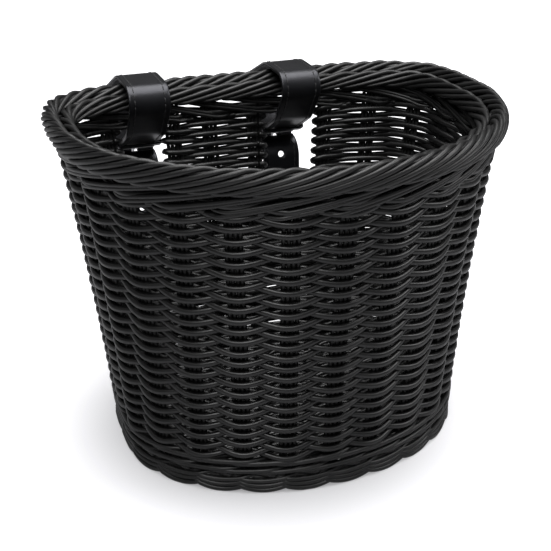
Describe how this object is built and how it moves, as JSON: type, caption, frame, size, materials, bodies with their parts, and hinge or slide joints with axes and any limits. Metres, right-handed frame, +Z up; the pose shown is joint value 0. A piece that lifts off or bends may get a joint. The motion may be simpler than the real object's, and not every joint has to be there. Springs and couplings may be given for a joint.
{
  "type": "handlebar basket",
  "caption": "D-shaped woven handlebar basket with a rolled rim, braided foot and flat slotted back, hung from the bar by two buckled leather straps.",
  "frame": {"origin": "on the floor under the middle of the whole object's box", "axes": "+Z up; +Y towards the flat back wall and the handlebar; -Y the round front; +X along the handlebar"},
  "size_m": [0.2502, 0.2402, 0.1936],
  "materials": {
    "rattan": "satin, round extruded strand, woven",
    "rattan_stake": "satin, round extruded rod",
    "rattan_border": "satin, round extruded strand, rolled and braided",
    "leather": "smooth, semi-gloss, stitched",
    "leather_lining": "smooth, matt",
    "buckle_metal": "nickel plated"
  },
  "bodies": {
    "basket": {"weave_front": "rattan", "weave_left": "rattan", "weave_right": "rattan", "weave_back_lower": "rattan", "weave_back_left": "rattan", "weave_back_middle": "rattan", "weave_back_right": "rattan", "stakes_front": "rattan_stake", "stakes_left": "rattan_stake", "stakes_right": "rattan_stake", "stakes_back": "rattan_stake", "foot_border": "rattan_border", "foot_wale": "rattan", "rim_wale": "rattan_border", "rim_border_outer": "rattan_border", "rim_border_inner": "rattan_border", "floor_mat": "rattan", "floor_sticks": "rattan_stake", "strap_outer_left": "leather", "strap_lining_left": "leather_lining", "strap_outer_right": "leather", "strap_lining_right": "leather_lining"},
    "buckle_left": {"buckle_left": "buckle_metal"},
    "prong_left": {"prong_left": "buckle_metal"},
    "keeper_left": {"keeper_left": "leather"},
    "tail_left": {"strap_tail_left": "leather"},
    "buckle_right": {"buckle_right": "buckle_metal"},
    "prong_right": {"prong_right": "buckle_metal"},
    "keeper_right": {"keeper_right": "leather"},
    "tail_right": {"strap_tail_right": "leather"}
  },
  "joints": [
    {"name": "buckle_left_tilt", "type": "hinge", "parent": "basket", "child": "buckle_left", "pos_m": [-0.0615, 0.0903, 0.14385], "axis": [-1, 0, 0], "range_deg": [0, 6]},
    {"name": "prong_left_lift", "type": "hinge", "parent": "buckle_left", "child": "prong_left", "pos_m": [-0.0615, 0.0903, 0.14385], "axis": [-1, 0, 0], "range_deg": [0, 12]},
    {"name": "keeper_left_slide", "type": "slide", "parent": "basket", "child": "keeper_left", "axis": [0, -0.8966, 0.4429], "range_m": [0, 0.004]},
    {"name": "tail_left_flap", "type": "hinge", "parent": "basket", "child": "tail_left", "pos_m": [-0.0615, 0.08946, 0.13886], "axis": [1, 0, 0], "range_deg": [-12, 30], "stiffness_Nm_per_rad": 0.02},
    {"name": "buckle_right_tilt", "type": "hinge", "parent": "basket", "child": "buckle_right", "pos_m": [0.03, 0.0903, 0.14385], "axis": [-1, 0, 0], "range_deg": [0, 6]},
    {"name": "prong_right_lift", "type": "hinge", "parent": "buckle_right", "child": "prong_right", "pos_m": [0.03, 0.0903, 0.14385], "axis": [-1, 0, 0], "range_deg": [0, 12]},
    {"name": "keeper_right_slide", "type": "slide", "parent": "basket", "child": "keeper_right", "axis": [0, -0.8966, 0.4429], "range_m": [0, 0.004]},
    {"name": "tail_right_flap", "type": "hinge", "parent": "basket", "child": "tail_right", "pos_m": [0.03, 0.08946, 0.13886], "axis": [1, 0, 0], "range_deg": [-12, 30], "stiffness_Nm_per_rad": 0.02}
  ]
}
